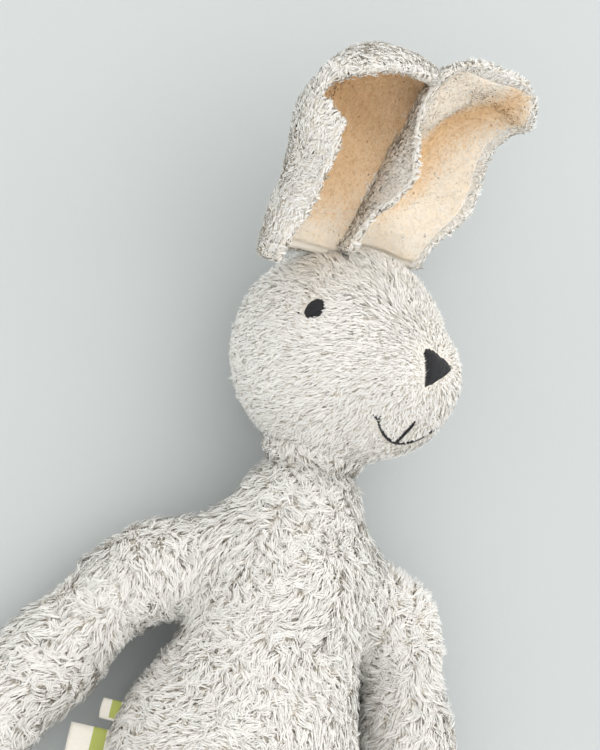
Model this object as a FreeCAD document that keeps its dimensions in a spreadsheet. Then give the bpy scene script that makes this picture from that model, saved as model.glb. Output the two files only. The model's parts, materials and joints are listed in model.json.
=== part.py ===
"""A stuffed plush bunny lying on its back, built as the covers, stuffings and stitches it is sewn from.

Frame: +Z up, away from the surface the toy lies on, +Y from the feet to the crown, +X to the bunny's left.
The origin is the middle of the flat patch that the belly's underside presses on that surface.
Every soft piece is a body of revolution, made from a chain of circles joined by tangent lines.
A cover is a shell of one wall, cut at its seams, and the stuffing inside it is the same chain, drawn in.
The undersides are cut flat where the toy lies on the surface.
"""

import FreeCAD, Part

import math
import os
import re

import Sketcher

App = FreeCAD

# name, value (mm or degrees), meaning
SIZES = [
    ("wall", 3.0, "cover: backing with its pressed pile"),
    ("fit", 0.2, "room between a cover and its stuffing"),
    ("joint_gap", 0.5, "room between two pieces that turn on each other"),
    ("stitch_gap", 0.05, "room between embroidery and the cover under it"),
    ("stitch_rise", 1.1, "height of satin stitching over the cover"),
    ("belly_r", 46.0, "belly radius"),
    ("belly_y", -26.0, "belly centre"),
    ("chest_r", 33.0, "chest radius"),
    ("chest_y", 38.0, "chest centre"),
    ("collar_r", 21.0, "radius under the neck"),
    ("collar_y", 65.0, "centre of the collar"),
    ("body_z", 38.0, "height of the torso's axis"),
    ("neck_r", 14.0, "neck ball radius"),
    ("neck_y", 92.0, "neck ball centre"),
    ("neck_ring_back", 4.0, "neck seam ring, from the ball's centre towards the torso"),
    ("thread_r", 0.9, "radius of the gathering thread round the neck"),
    ("skull_r", 42.0, "radius of the skull"),
    ("skull_y", 136.0, "skull centre along the body"),
    ("skull_z", 41.0, "skull centre height"),
    ("muzzle_r", 24.0, "radius of the muzzle"),
    ("muzzle_out", 32.0, "muzzle centre in front of the skull centre"),
    ("muzzle_down", 10.0, "muzzle droop, degrees"),
    ("head_turn", 27.6, "head turned to its left, degrees"),
    ("head_nod", 2.0, "head nodded, degrees"),
    ("head_tilt", 16.0, "head tilted to its right, degrees"),
    ("gusset_half", 15.0, "half width of the strip over the top of the head"),
    ("eye_r", 4.3, "eye radius"),
    ("eye_side", 60.0, "eye, degrees round from the face"),
    ("eye_up", 26.0, "eye, degrees above the middle"),
    ("nose_r", 8.5, "nose triangle, centre to corner"),
    ("nose_down", 0.5, "nose under the face's middle, degrees"),
    ("mouth_r", 13.0, "radius of the smile"),
    ("mouth_w", 1.4, "width of the mouth's stitching"),
    ("mouth_down", 66.0, "mouth under the nose, degrees"),
    ("smile_half", 9.5, "half width of the smile"),
    ("ear_x", 22.0, "ear root to the side of the crown"),
    ("ear_rise", 3.5, "ear root above the skull"),
    ("ear_back", 5.0, "ear root behind the middle of the crown"),
    ("ear_start", 2.0, "from the ear's hinge line to its lowest circle"),
    ("ear_root_r", 15.0, "ear radius at the root"),
    ("ear_mid_r", 26.0, "ear radius at the widest"),
    ("ear_mid_y", 50.0, "widest place along the ear"),
    ("ear_tip_r", 22.5, "ear radius near the tip"),
    ("ear_tip_y", 68.0, "last circle along the ear"),
    ("ear_cup_r", 27.0, "radius of the ear's cupped inside"),
    ("lining_t", 1.6, "ear lining thickness"),
    ("ear_left_side", 10.0, "left ear towards the bunny's left, degrees"),
    ("ear_right_side", 1.0, "right ear towards the bunny's left, degrees"),
    ("ear_left_lean", 40.0, "left ear forward, degrees"),
    ("ear_right_lean", 30.0, "right ear forward, degrees"),
    ("shoulder_r", 18.0, "shoulder radius"),
    ("shoulder_y", 43.0, "shoulder along the body"),
    ("shoulder_z", 28.0, "shoulder height"),
    ("shoulder_len", 10.5, "shoulder, ball centre to its open end"),
    ("arm_root", 22.0, "arm ball centre from the shoulder's"),
    ("arm_r", 17.5, "arm radius at its root"),
    ("hand_r", 20.0, "hand radius"),
    ("arm_len", 92.0, "arm ball centre to hand centre"),
    ("arm_left_open", 6.7, "left arm's angle past where its hand meets the belly"),
    ("arm_right_open", 18.2, "right arm's angle past where its hand meets the belly"),
    ("hip_x", 24.0, "hip to the side"),
    ("hip_z", 28.0, "hip height"),
    ("thigh_r", 21.0, "thigh radius"),
    ("thigh_len", 15.0, "thigh, ball centre to its open end"),
    ("leg_root", 25.0, "leg ball centre from the hip's"),
    ("leg_r", 20.0, "leg radius at its root"),
    ("heel_r", 21.0, "heel radius"),
    ("leg_len", 92.0, "leg ball centre to heel centre"),
    ("leg_out", 12.0, "legs away from the body's line, degrees"),
    ("toe_r", 15.5, "toe radius"),
    ("toe_up", 27.0, "toe centre above the heel centre"),
    ("sink", 1.0, "how far hands and heels press into the surface"),
    ("tail_r", 9.0, "tail radius"),
    ("tail_z", 12.0, "tail centre height"),
    ("ribbon_w", 8.0, "ribbon label width"),
    ("ribbon_out", 11.0, "ribbon label, beyond the belly's side"),
    ("ribbon_y", -21.0, "ribbon label along the body"),
    ("care_w", 17.0, "care label width"),
    ("care_out", 22.0, "care label, beyond the belly's side"),
    ("care_y", -37.0, "care label along the body"),
    ("label_t", 0.8, "thickness of a folded label"),
    ("label_z", 27.0, "height of the labels"),
    ("seam_half", 1.6, "half width of the closing seam's groove"),
    ("seam_deep", 1.2, "depth of the closing seam's groove"),
    ("seam_pitch", 4.0, "closing stitch to closing stitch"),
    ("seam_stitches", 10, "stitches that close the left side"),
    ("seam_thread_r", 0.4, "closing thread radius"),
]
NAMES = {name for name, _, _ in SIZES}
SHEET = "Sizes"
FAR = 600.0  # a cutting box's side, past every part of the toy
SIDES = {"left": 1, "right": -1}

doc = App.newDocument("plush_bunny")
sheet = doc.addObject("Spreadsheet::Sheet", SHEET)
for row, (name, value, meaning) in enumerate(SIZES, start=1):
    sheet.set(f"A{row}", meaning)
    sheet.set(f"B{row}", str(value))
    sheet.setAlias(f"B{row}", name)
doc.recompute()


def formula(text):
    """Names of sizes in a formula, written as cells of the sheet."""
    word = re.compile(r"[a-z][a-z_]*")
    return word.sub(lambda m: f"{SHEET}.{m.group()}" if m.group() in NAMES else m.group(), text)


def value(text):
    found = sheet.evalExpression(formula(str(text)))
    return float(getattr(found, "Value", found))


def bind(thing, **sizes):
    for prop, text in sizes.items():
        thing.setExpression(prop, formula(str(text)))
    return thing


# ---- frames, as formulas ----


def frame(x, y, z, *turns):
    """A placement formula: a point, then turns of (axis letter, degrees) taken from the left."""
    axes = {"x": "vector(1; 0; 0)", "y": "vector(0; 1; 0)", "z": "vector(0; 0; 1)"}
    turned = " * ".join(f"rotation({axes[a]}; {angle})" for a, angle in turns or [("z", 0)])
    return f"placement(vector({x}; {y}; {z}); {turned})"


TORSO = frame(0, 0, "body_z")
NECK = frame(0, "neck_y", "body_z")
HEAD = frame(0, "skull_y", "skull_z", ("y", "head_turn"), ("x", "head_nod"), ("z", "head_tilt"))
MUZZLE = f"{HEAD} * {frame(0, 0, 0, ('x', '90 + muzzle_down'))}"  # +Y along the muzzle


def limb(side, x, y, z, out, drop):
    """A limb's frame: +Y along it, away from the body and down by drop degrees, +Z to its upper side."""
    return frame(f"{side} * ({x})", y, z, ("z", f"180 + {side} * {out}"), ("x", f"-({drop})"))


HIP_Y = "belly_y - sqrt((belly_r + 3 * joint_gap + thigh_r)^2 - hip_x^2 - (body_z - hip_z)^2)"
ARM_DROP = "asin((shoulder_z - hand_r + sink) / (arm_root + arm_len))"
LEG_DROP = "asin((hip_z - heel_r + sink) / (leg_root + leg_len))"
LEAN = "asin((belly_r - chest_r) / (chest_y - belly_y))"  # the side's slope, between belly and chest
SIDE_SEAM = frame(
    f"(belly_r + chest_r) / 2 * cos({LEAN})",
    f"(belly_y + chest_y) / 2 + (belly_r + chest_r) / 2 * sin({LEAN})",
    "body_z",
    ("z", LEAN),
)
SHOULDER_X = (
    f"((belly_r + joint_gap + shoulder_r) - (shoulder_y - belly_y) * sin({LEAN})) / cos({LEAN})"
)
TO_BELLY = f"sqrt(({SHOULDER_X})^2 + (shoulder_y - belly_y)^2)"  # from a shoulder to the belly's centre
TAIL_Y = "belly_y - sqrt((belly_r + joint_gap + tail_r)^2 - (body_z - tail_z)^2)"


def arm_out(name):
    """An arm's angle from the body's line: it would touch the belly, and opens from there."""
    touch = f"acos((belly_r + hand_r) / ({TO_BELLY}))"
    return f"((atan((shoulder_y - belly_y) / ({SHOULDER_X})) - {touch}) / 1 deg + arm_{name}_open)"


def shoulder_frame(name):
    return limb(SIDES[name], SHOULDER_X, "shoulder_y", "shoulder_z", arm_out(name), ARM_DROP)


def arm_frame(name):
    return f"{shoulder_frame(name)} * {frame(0, 'arm_root', 0)}"


def hip_frame(name):
    return limb(SIDES[name], "hip_x", HIP_Y, "hip_z", "leg_out", LEG_DROP)


def leg_frame(name):
    return f"{hip_frame(name)} * {frame(0, 'leg_root', 0)}"


EAR_Y = "sqrt((skull_r + ear_rise)^2 - ear_x^2 - ear_back^2)"


def ear_frame(name):
    side = SIDES[name]
    turns = (("z", f"-ear_{name}_side"), ("x", f"ear_{name}_lean"))
    return f"{HEAD} * {frame(f'{side} * ear_x', EAR_Y, '-ear_back', *turns)}"


# ---- solids ----


def chain(name, circles, grow="0", place=None):
    """A solid of revolution round +Y. circles are (centre along Y, radius), and tangent lines join them."""
    sketch = doc.addObject("Sketcher::SketchObject", f"{name}_profile")
    grow = f"({grow})"
    texts = [(str(c), f"{r} + {grow}") for c, r in circles]
    at = [(value(c), value(r)) for c, r in texts]
    angles = [-math.pi / 2]
    angles += [math.asin((a[1] - b[1]) / (b[0] - a[0])) for a, b in zip(at, at[1:])]
    angles.append(math.pi / 2)
    up = App.Vector(0, 0, 1)
    arcs, joins = [], []
    for (c, r), start, end in zip(at, angles, angles[1:]):
        circle = Part.Circle(App.Vector(0, c, 0), up, r)
        arcs.append(sketch.addGeometry(Part.ArcOfCircle(circle, start, end), False))
    for first, second in zip(arcs, arcs[1:]):
        ends = [sketch.getPoint(first, 2), sketch.getPoint(second, 1)]
        joins.append((first, sketch.addGeometry(Part.LineSegment(*ends), False), second))
    ends = [sketch.getPoint(arcs[-1], 2), sketch.getPoint(arcs[0], 1)]
    axis = sketch.addGeometry(Part.LineSegment(*ends), False)
    add = sketch.addConstraint
    for first, line, second in joins:
        add(Sketcher.Constraint("Tangent", first, 2, line, 1))
        add(Sketcher.Constraint("Tangent", line, 2, second, 1))
    add(Sketcher.Constraint("Coincident", arcs[-1], 2, axis, 1))
    add(Sketcher.Constraint("Coincident", axis, 2, arcs[0], 1))
    add(Sketcher.Constraint("PointOnObject", arcs[0], 1, -2))
    add(Sketcher.Constraint("PointOnObject", arcs[-1], 2, -2))
    for arc, (c, r), (c_text, r_text) in zip(arcs, at, texts):
        add(Sketcher.Constraint("PointOnObject", arc, 3, -2))
        if c:
            sized = add(Sketcher.Constraint("DistanceY", -1, 1, arc, 3, c))
            sketch.setExpression(f"Constraints[{sized}]", formula(c_text))
        else:
            add(Sketcher.Constraint("PointOnObject", arc, 3, -1))
        sized = add(Sketcher.Constraint("Radius", arc, r))
        sketch.setExpression(f"Constraints[{sized}]", formula(r_text))
    return revolve(name, sketch, place)


def stub(name, radius, length, grow="0", place=None):
    """A ball with a straight sleeve that ends in a flat, as a solid of revolution round +Y."""
    sketch = doc.addObject("Sketcher::SketchObject", f"{name}_profile")
    r, long = value(f"{radius} + ({grow})"), value(length)
    ball = Part.ArcOfCircle(Part.Circle(App.Vector(), App.Vector(0, 0, 1), r), -math.pi / 2, 0)
    arc = sketch.addGeometry(ball, False)
    corners = [App.Vector(r, 0, 0), App.Vector(r, long, 0), App.Vector(0, long, 0), App.Vector(0, -r, 0)]
    lines = [sketch.addGeometry(Part.LineSegment(a, b), False) for a, b in zip(corners, corners[1:])]
    add = sketch.addConstraint
    add(Sketcher.Constraint("Coincident", arc, 3, -1, 1))
    add(Sketcher.Constraint("Tangent", arc, 2, lines[0], 1))
    add(Sketcher.Constraint("Vertical", lines[0]))
    add(Sketcher.Constraint("Coincident", lines[0], 2, lines[1], 1))
    add(Sketcher.Constraint("Horizontal", lines[1]))
    add(Sketcher.Constraint("Coincident", lines[1], 2, lines[2], 1))
    add(Sketcher.Constraint("PointOnObject", lines[2], 1, -2))
    add(Sketcher.Constraint("Coincident", lines[2], 2, arc, 1))
    add(Sketcher.Constraint("PointOnObject", arc, 1, -2))
    sized = add(Sketcher.Constraint("Radius", arc, r))
    sketch.setExpression(f"Constraints[{sized}]", formula(f"{radius} + ({grow})"))
    sized = add(Sketcher.Constraint("DistanceY", -1, 1, lines[1], 2, long))
    sketch.setExpression(f"Constraints[{sized}]", formula(length))
    return revolve(name, sketch, place)


def revolve(name, sketch, place):
    turned = doc.addObject("Part::Revolution", name)
    turned.Source = sketch
    turned.Axis = (0, 1, 0)
    turned.Base = (0, 0, 0)
    turned.Angle = 360
    turned.Solid = True
    return bind(turned, Placement=place) if place else turned


def box(name, place, x, y, z):
    """A box from (low, high) formulas along each axis of a frame."""
    made = doc.addObject("Part::Box", name)
    bind(made, Length=f"{x[1]} - ({x[0]})", Width=f"{y[1]} - ({y[0]})", Height=f"{z[1]} - ({z[0]})")
    return bind(made, Placement=f"{place} * {frame(x[0], y[0], z[0])}")


def ball(name, radius, place):
    return bind(doc.addObject("Part::Sphere", name), Radius=radius, Placement=place)


def rod(name, radius, length, place):
    """A cylinder along its frame's +Z."""
    return bind(doc.addObject("Part::Cylinder", name), Radius=radius, Height=length, Placement=place)


def ring(name, big, small, place):
    return bind(doc.addObject("Part::Torus", name), Radius1=big, Radius2=small, Placement=place)


def cut(name, base, *tools):
    for number, tool in enumerate(tools):
        made = doc.addObject("Part::Cut", name if tool is tools[-1] else f"{name}_cut{number}")
        made.Base, made.Tool = base, tool
        base = made
    return base


def common(name, *shapes):
    made = doc.addObject("Part::MultiCommon", name)
    made.Shapes = list(shapes)
    return made


def fuse(name, *shapes):
    made = doc.addObject("Part::MultiFuse", name)
    made.Shapes = list(shapes)
    return made


WORLD = frame(0, 0, 0)
FILL = "-wall - fit"  # a stuffing is its cover's chain drawn in by this
BELOW = (-FAR, 0)
ABOVE = (0, FAR)
ALL = (-FAR, FAR)

nodes = {}


def node(name, thing):
    """Keeps a finished piece under its own name."""
    thing.Label = name
    nodes[name] = thing
    return thing


def torso():
    circles = [("belly_y", "belly_r"), ("chest_y", "chest_r"), ("collar_y", "collar_r")]
    outer = chain("torso_outer", circles, place=TORSO)
    inner = chain("torso_inner", circles, "-wall", place=TORSO)
    core = chain("torso_core", circles, FILL, place=TORSO)
    under = box("floor", WORLD, ALL, ALL, BELOW)
    under_core = box("floor_core", WORLD, ALL, ALL, (-FAR, "wall + fit"))
    under_inner = box("floor_inner", WORLD, ALL, ALL, (-FAR, "wall"))
    socket = ball("neck_socket", "neck_r + joint_gap", NECK)
    inside = cut("torso_hollow", inner, under_inner)
    shell = cut("torso_shell", outer, under, inside, socket)
    seam_reach = "seam_pitch * seam_stitches / 2"
    across = ("-seam_half", "seam_half")
    seam = box("seam_groove", SIDE_SEAM, ("-seam_deep", FAR), (f"-{seam_reach}", seam_reach), across)
    whole = cut("torso_sewn", shell, seam)
    for half, span in (("front", ABOVE), ("back", BELOW)):
        side = box(f"torso_{half}_side", TORSO, ALL, ALL, span)
        node(f"torso_{half}_cover", common(f"torso_{half}", whole, side))
    deep_socket = ball("neck_socket_core", "neck_r + joint_gap + fit", NECK)
    node("torso_stuffing", cut("torso_filling", core, under_core, deep_socket))
    return outer


def closing_stitches():
    """Short threads across the left side seam, one beside the next, inside its groove."""
    threads = []
    for number in range(int(value("seam_stitches"))):
        along = f"seam_pitch * ({number} - (seam_stitches - 1) / 2)"
        place = f"{SIDE_SEAM} * {frame('-seam_deep / 2', along, '-seam_half + fit')}"
        threads.append(rod(f"closing_stitch_{number}", "seam_thread_r", "2 * (seam_half - fit)", place))
    node("closing_seam_stitches", fuse("closing_stitches", *threads))


def neck():
    node("neck_stuffing", ball("neck_ball", "neck_r", NECK))
    big = "sqrt(neck_r^2 - neck_ring_back^2) + thread_r + stitch_gap"
    place = f"{NECK} * {frame(0, '-neck_ring_back', 0, ('x', '90'))}"
    node("neck_seam_thread", ring("neck_thread", big, "thread_r", place))


def head():
    circles = [(0, "skull_r"), ("muzzle_out", "muzzle_r")]
    outer = chain("head_outer", circles, place=MUZZLE)
    inner = chain("head_inner", circles, "-wall", place=MUZZLE)
    core = chain("head_core", circles, FILL, place=MUZZLE)
    under = box("floor_head", WORLD, ALL, ALL, BELOW)
    under_inner = box("floor_head_inner", WORLD, ALL, ALL, (-FAR, "wall"))
    under_core = box("floor_head_core", WORLD, ALL, ALL, (-FAR, "wall + fit"))
    socket = ball("head_socket", "neck_r + joint_gap", NECK)
    shell = cut("head_shell", outer, under, cut("head_hollow", inner, under_inner), socket)
    strip = box("gusset_strip", HEAD, ("-gusset_half", "gusset_half"), (0, FAR), ALL)
    node("head_centre_gusset", common("head_gusset", shell, strip))
    rest = cut("head_sides", shell, strip)
    node("head_left_cover", common("head_left", rest, box("head_half_left", HEAD, ABOVE, ALL, ALL)))
    node("head_right_cover", common("head_right", rest, box("head_half_right", HEAD, BELOW, ALL, ALL)))
    deep_socket = ball("head_socket_core", "neck_r + joint_gap + fit", NECK)
    node("head_stuffing", cut("head_filling", core, under_core, deep_socket))
    return circles


def face(circles):
    """Embroidery: a thin layer over the head's cover, kept where each stitched shape is."""
    low = chain("stitch_low", circles, "stitch_gap", place=MUZZLE)
    high = chain("stitch_high", circles, "stitch_gap + stitch_rise", place=MUZZLE)
    layer = cut("stitch_layer", high, low)
    reach = "skull_r + muzzle_out"
    for name, side in SIDES.items():
        place = f"{HEAD} * {frame(0, 0, 0, ('y', f'{side} * eye_side'), ('x', '-eye_up'))}"
        node(f"eye_{name}", common(f"eye_{name}_patch", layer, rod(f"eye_{name}_rod", "eye_r", reach, place)))
    nose = doc.addObject("Part::Prism", "nose_prism")
    nose.Polygon = 3
    nose_place = f"{HEAD} * {frame(0, 0, 0, ('x', 'nose_down'), ('z', '-90'))}"
    bind(nose, Circumradius="nose_r", Height=reach, Placement=nose_place)
    node("nose", common("nose_patch", layer, nose))
    snout = f"{HEAD} * {frame(0, 0, 0, ('x', 'muzzle_down'))}"
    mouth_place = f"{snout} * {frame(0, 0, 'muzzle_out', ('x', 'mouth_down'))}"
    out = "muzzle_r * 2"
    ring_place = f"{mouth_place} * {frame(0, 'mouth_r', 0)}"
    smile = common(
        "smile_arc",
        cut(
            "smile_ring",
            rod("smile_big", "mouth_r + mouth_w / 2", out, ring_place),
            rod("smile_small", "mouth_r - mouth_w / 2", out, ring_place),
        ),
        box("smile_span", mouth_place, ("-smile_half", "smile_half"), ("-mouth_w", "mouth_r"), (0, out)),
    )
    lip = box("lip_line", mouth_place, ("-mouth_w / 2", "mouth_w / 2"), (0, "muzzle_r / 2"), (0, out))
    node("mouth", common("mouth_patch", layer, fuse("mouth_prism", smile, lip)))


def ear(name):
    """A cupped, two-layer flap: a plush back and a smooth lining, on a hinge line over the crown."""
    place = ear_frame(name)
    root = ("ear_start + ear_root_r", "ear_root_r")
    circles = [root, ("ear_mid_y", "ear_mid_r"), ("ear_tip_y", "ear_tip_r")]
    outline = chain(f"ear_{name}_outline", circles, place=place)
    tube = f"{place} * {frame(0, '-ear_tip_y', 'ear_cup_r + lining_t / 2', ('x', '-90'))}"
    layers = {"lining": ("0", "lining_t"), "back": ("lining_t + stitch_gap", "lining_t + stitch_gap + wall")}
    clear = ball(f"ear_{name}_clear", "skull_r + joint_gap * 2", HEAD)
    front = box(f"ear_{name}_front", place, ALL, ALL, (-FAR, "ear_cup_r"))
    for layer, (low, high) in layers.items():
        sheath = cut(
            f"ear_{name}_{layer}_sheath",
            rod(f"ear_{name}_{layer}_out", f"ear_cup_r + {high}", "3 * ear_tip_y", tube),
            rod(f"ear_{name}_{layer}_in", f"ear_cup_r + {low}", "3 * ear_tip_y", tube),
        )
        leaf = common(f"ear_{name}_{layer}_leaf", outline, sheath, front)
        node(f"ear_{name}_{layer}", cut(f"ear_{name}_{layer}_piece", leaf, clear))


def sleeve(name, place, far_place, far_radius):
    """The short piece between torso and limb: a ball, and a sleeve that the limb's root ball sits in."""
    kind = name.split("_")[0]
    radius, length = f"{kind}_r", f"{kind}_len"
    outer = stub(f"{name}_outer", radius, length, place=place)
    inner = stub(f"{name}_inner", radius, length, "-wall", place=place)
    core = stub(f"{name}_core", radius, length, FILL, place=place)
    socket = ball(f"{name}_socket", f"{far_radius} + joint_gap", far_place)
    deep = ball(f"{name}_socket_core", f"{far_radius} + joint_gap + fit", far_place)
    node(f"{name}_cover", cut(f"{name}_shell", outer, inner, socket))
    node(f"{name}_stuffing", cut(f"{name}_filling", core, deep))


def halves(name, shell, place):
    """A limb's cover is sewn from an upper and an under panel, which meet at its sides."""
    for half, span in (("front", ABOVE), ("back", BELOW)):
        side = box(f"{name}_{half}_side", place, ALL, ALL, span)
        node(f"{name}_{half}_cover", common(f"{name}_{half}", shell, side))


def arm(name):
    place = arm_frame(name)
    circles = [(0, "arm_r"), ("arm_len", "hand_r")]
    outer = chain(f"arm_{name}_outer", circles, place=place)
    inner = chain(f"arm_{name}_inner", circles, "-wall", place=place)
    core = chain(f"arm_{name}_core", circles, FILL, place=place)
    under = box(f"arm_{name}_floor", WORLD, ALL, ALL, BELOW)
    under_inner = box(f"arm_{name}_floor_inner", WORLD, ALL, ALL, (-FAR, "wall"))
    under_core = box(f"arm_{name}_floor_core", WORLD, ALL, ALL, (-FAR, "wall + fit"))
    shell = cut(f"arm_{name}_shell", outer, under, cut(f"arm_{name}_hollow", inner, under_inner))
    halves(f"arm_{name}", shell, place)
    node(f"arm_{name}_stuffing", cut(f"arm_{name}_filling", core, under_core))


def leg(name):
    """A leg with its foot turned up: the heel lies on the surface and the toes point away from it."""
    place = leg_frame(name)
    foot_place = f"{place} * {frame(0, 'leg_len', 0, ('x', '90'))}"
    long = [(0, "leg_r"), ("leg_len", "heel_r")]
    foot = [(0, "heel_r - fit"), ("toe_up", "toe_r")]
    solid = {}
    for kind, grow in (("outer", "0"), ("inner", "-wall"), ("core", FILL)):
        shank = chain(f"leg_{name}_{kind}_shank", long, grow, place=place)
        toes = chain(f"leg_{name}_{kind}_foot", foot, grow, place=foot_place)
        solid[kind] = fuse(f"leg_{name}_{kind}", shank, toes)
    under = box(f"leg_{name}_floor", WORLD, ALL, ALL, BELOW)
    under_inner = box(f"leg_{name}_floor_inner", WORLD, ALL, ALL, (-FAR, "wall"))
    under_core = box(f"leg_{name}_floor_core", WORLD, ALL, ALL, (-FAR, "wall + fit"))
    hollow = cut(f"leg_{name}_hollow", solid["inner"], under_inner)
    shell = cut(f"leg_{name}_shell", solid["outer"], under, hollow)
    halves(f"leg_{name}", shell, place)
    node(f"leg_{name}_stuffing", cut(f"leg_{name}_filling", solid["core"], under_core))


def tail():
    node("tail", ball("tail_ball", "tail_r", frame(0, TAIL_Y, "tail_z")))


def labels(torso_outer):
    """Two folded labels, sewn in at the right side seam and standing out of it."""
    for name in ("ribbon", "care"):
        strip = box(
            f"{name}_strip",
            WORLD,
            (f"-belly_r - {name}_out", "-belly_r / 2"),
            (f"{name}_y - {name}_w / 2", f"{name}_y + {name}_w / 2"),
            ("label_z", "label_z + label_t"),
        )
        node(f"{name}_label", cut(f"{name}_tag", strip, torso_outer))


def export(folder):
    doc.recompute()
    failed = [o.Label for o in doc.Objects if set(o.State) & {"Invalid", "Error"}]
    if failed:
        raise RuntimeError(f"these objects failed: {failed}")
    os.makedirs(folder, exist_ok=True)
    for name, thing in nodes.items():
        shape = thing.Shape
        if shape.isNull() or not shape.isValid() or not shape.Solids:
            raise RuntimeError(f"{name} has no valid solid")
        shape.exportStep(os.path.join(folder, f"{name}.step"))
        print(f"{name}: {len(shape.Solids)} solid, {shape.Volume / 1000:.2f} ml")


def main():
    outer = torso()
    closing_stitches()
    labels(outer)
    tail()
    neck()
    face(head())
    for name in SIDES:
        ear(name)
        sleeve(f"shoulder_{name}", shoulder_frame(name), arm_frame(name), "arm_r")
        arm(name)
        sleeve(f"thigh_{name}", hip_frame(name), leg_frame(name), "leg_r")
        leg(name)
    export("parts")


main()
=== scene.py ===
"""A plush bunny lying on its back: sewn covers, a brushed and whorled pile, embroidery and labels."""

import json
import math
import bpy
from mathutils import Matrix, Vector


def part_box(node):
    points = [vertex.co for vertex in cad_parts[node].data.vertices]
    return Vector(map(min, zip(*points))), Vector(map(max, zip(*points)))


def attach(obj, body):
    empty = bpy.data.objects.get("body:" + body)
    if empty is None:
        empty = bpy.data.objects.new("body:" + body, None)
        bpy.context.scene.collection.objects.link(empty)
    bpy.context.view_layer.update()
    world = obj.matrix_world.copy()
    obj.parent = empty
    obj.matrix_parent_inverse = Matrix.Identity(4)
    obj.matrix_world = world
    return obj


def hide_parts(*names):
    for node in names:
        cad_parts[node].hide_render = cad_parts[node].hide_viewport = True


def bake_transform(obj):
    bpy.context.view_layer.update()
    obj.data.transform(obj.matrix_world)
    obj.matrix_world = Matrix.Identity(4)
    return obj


bl_info = {
    "name": "Plush Bunny",
    "version": (1, 0, 0),
    "blender": (4, 5, 0),
    "location": "View3D > Sidebar > Bunny",
    "description": "Sews a plush bunny's covers, pile, ears, face and labels round its frame",
    "category": "Object",
}

import bpy
import numpy as np
from mathutils import Matrix, Vector
from mathutils.kdtree import KDTree

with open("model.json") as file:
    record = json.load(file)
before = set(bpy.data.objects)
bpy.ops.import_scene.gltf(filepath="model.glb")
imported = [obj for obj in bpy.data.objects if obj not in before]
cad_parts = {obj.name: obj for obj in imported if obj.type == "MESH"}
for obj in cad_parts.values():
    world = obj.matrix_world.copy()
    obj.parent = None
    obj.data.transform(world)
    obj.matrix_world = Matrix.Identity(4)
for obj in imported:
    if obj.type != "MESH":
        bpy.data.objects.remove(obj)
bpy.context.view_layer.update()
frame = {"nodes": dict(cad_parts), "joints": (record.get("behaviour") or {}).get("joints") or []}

MM = 0.001
SIDES = {"left": 1, "right": -1}
JOINTS = {j["name"]: j for j in frame["joints"]}


# ---- places, from the frame ----


def unit(v):
    v = np.asarray(v, float)
    return v / np.maximum(np.linalg.norm(v, axis=-1, keepdims=True), 1e-12)


def pivot(joint):
    return np.array(JOINTS[joint]["pos_m"], float)


def box(node):
    low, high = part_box(node)
    return np.array(low, float), np.array(high, float)


def middle(node):
    return sum(box(node)) / 2


NECK = pivot("neck_turn")
BELLY_R = box("torso_front_cover")[1][0]
BODY_Z = box("torso_front_cover")[0][2]
BELLY = np.array([0, box("torso_front_cover")[0][1] + BELLY_R, BODY_Z])
SKULL = NECK + np.array([0, 44 * MM, 3 * MM])
LEFT = unit(middle("eye_left") - middle("eye_right"))  # the head's own left
FORWARD = unit(middle("nose") - SKULL - (middle("nose") - SKULL) @ LEFT * LEFT)
UP = np.cross(FORWARD, LEFT)


# ---- settings ----


def size(name, text, default, **more):
    return bpy.props.FloatProperty(name=name, description=text, default=default, unit="LENGTH", **more)


def colour(name, text, default):
    return bpy.props.FloatVectorProperty(
        name=name, description=text, default=default, subtype="COLOR", size=3, min=0, max=1
    )


class BunnyShape(bpy.types.PropertyGroup):
    chest_r: size("Chest", "Radius of the chest under its pile", 29 * MM)
    pile_room: size("Room for pile", "How far the covers stay inside the toy's outline", 4.5 * MM)
    yoke_r: size("Yoke", "Radius of the slope from the neck to a shoulder", 13 * MM)
    blend: size("Softness", "How widely one form rounds into the next", 14 * MM)
    weave: size("Cover mesh", "Spacing of the cover's mesh", 2.4 * MM)


class BunnyPile(bpy.types.PropertyGroup):
    head_long: size("Head pile", "Length of the pile on the head", 5.5 * MM)
    body_long: size("Chest pile", "Length of the pile on the chest and arms", 7.5 * MM)
    belly_long: size("Belly pile", "Length of the curly nap on the belly", 6.5 * MM)
    ear_long: size("Ear pile", "Length of the pile on the ears' backs", 3.4 * MM)
    velour_long: size("Velour", "Length of the lining's nap", 1.4 * MM)
    fibre: size("Fibre", "Width of one drawn lock of fibres", 0.4 * MM)
    density: bpy.props.FloatProperty(name="Density", description="Locks per square mm", default=2, min=0.2)


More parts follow.
